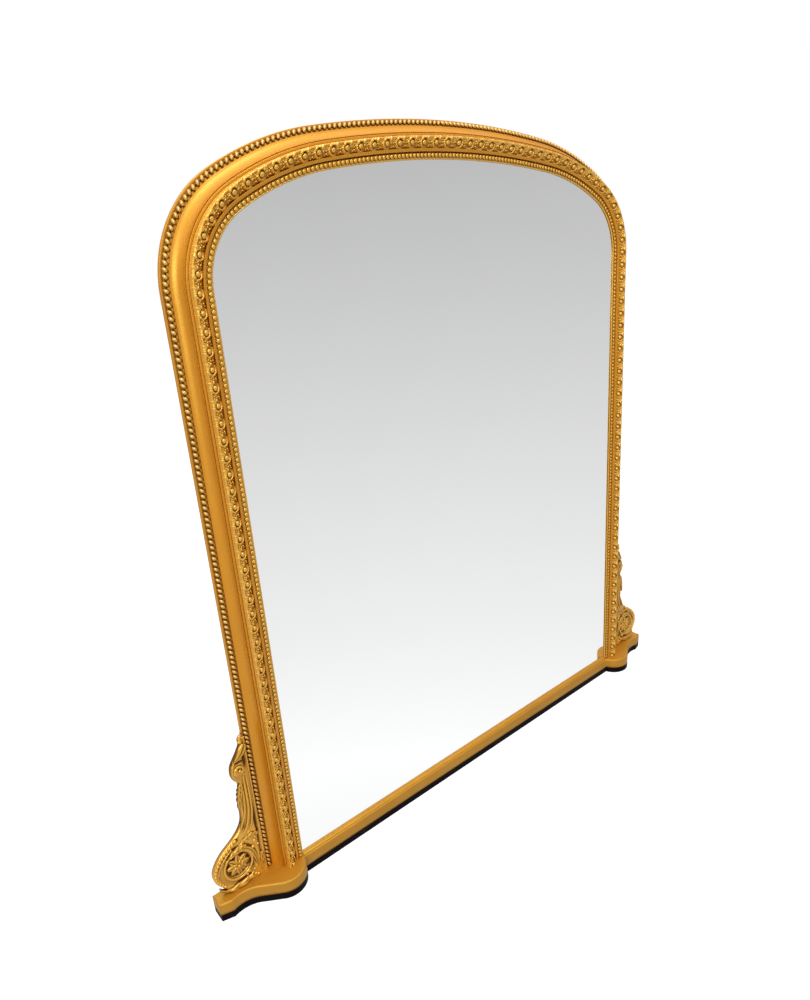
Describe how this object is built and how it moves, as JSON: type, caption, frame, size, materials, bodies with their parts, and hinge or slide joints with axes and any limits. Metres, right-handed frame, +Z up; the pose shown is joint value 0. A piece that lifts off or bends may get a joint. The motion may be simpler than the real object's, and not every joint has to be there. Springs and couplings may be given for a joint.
{
  "type": "overmantel mirror",
  "caption": "Tall gilded overmantel mirror with an arched head, a moulded frame with beads and a leaf band, scroll brackets and a serpentine plinth on a black sole.",
  "frame": {"origin": "middle of the mirror's width, on the plane of the glass face, at the underside of the sole", "axes": "+X to the viewer's right, +Y to the back, +Z up; the mirror faces -Y"},
  "size_m": [1.6308, 0.1008, 1.6646],
  "materials": {
    "gilded_pine": "water-gilded over gesso, softly burnished, lightly worn",
    "gilded_composition": "gilded moulded composition, dark in the hollows",
    "ebonised_wood": "black stain, satin",
    "silvered_glass": "clear plate silvered on the back",
    "bare_pine": "planed, aged",
    "screw_steel": "plain",
    "hanger_brass": "dull",
    "hanger_ring_brass": "dull"
  },
  "bodies": {
    "mirror": {"sole_board": "ebonised_wood", "plinth": "gilded_pine", "left_stile": "gilded_pine", "right_stile": "gilded_pine", "left_shoulder": "gilded_pine", "right_shoulder": "gilded_pine", "left_haunch": "gilded_pine", "right_haunch": "gilded_pine", "crown_rail": "gilded_pine", "bottom_rail": "bare_pine", "foot_slip": "gilded_pine", "left_sight_slip": "gilded_composition", "right_sight_slip": "gilded_composition", "corner_sight_slips": "gilded_composition", "haunch_sight_slips": "gilded_composition", "crown_sight_slip": "gilded_composition", "left_leaf_band": "gilded_composition", "right_leaf_band": "gilded_composition", "corner_leaf_bands": "gilded_composition", "haunch_leaf_bands": "gilded_composition", "crown_leaf_band": "gilded_composition", "left_bead_string": "gilded_composition", "right_bead_string": "gilded_composition", "corner_bead_strings": "gilded_composition", "haunch_bead_strings": "gilded_composition", "crown_bead_string": "gilded_composition", "left_bracket": "gilded_pine", "right_bracket": "gilded_pine", "left_volute_rim": "gilded_composition", "right_volute_rim": "gilded_composition", "left_rosette": "gilded_composition", "right_rosette": "gilded_composition", "mirror_glass": "silvered_glass", "glazing_blocks": "bare_pine", "backboards": "bare_pine", "backboard_screws": "screw_steel", "joint_tongues": "bare_pine", "plinth_screws": "screw_steel", "left_hanger_strap": "hanger_brass", "right_hanger_strap": "hanger_brass", "hanger_screws": "screw_steel"},
    "left_ring": {"left_hanger_ring": "hanger_ring_brass"},
    "right_ring": {"right_hanger_ring": "hanger_ring_brass"}
  },
  "joints": [
    {"name": "left_ring_swing", "type": "hinge", "parent": "mirror", "child": "left_ring", "pos_m": [-0.65195, 0.0464, 1.2], "axis": [1, 0, 0], "range_deg": [0, 176]},
    {"name": "right_ring_swing", "type": "hinge", "parent": "mirror", "child": "right_ring", "pos_m": [0.65195, 0.0464, 1.2], "axis": [1, 0, 0], "range_deg": [0, 176]}
  ]
}
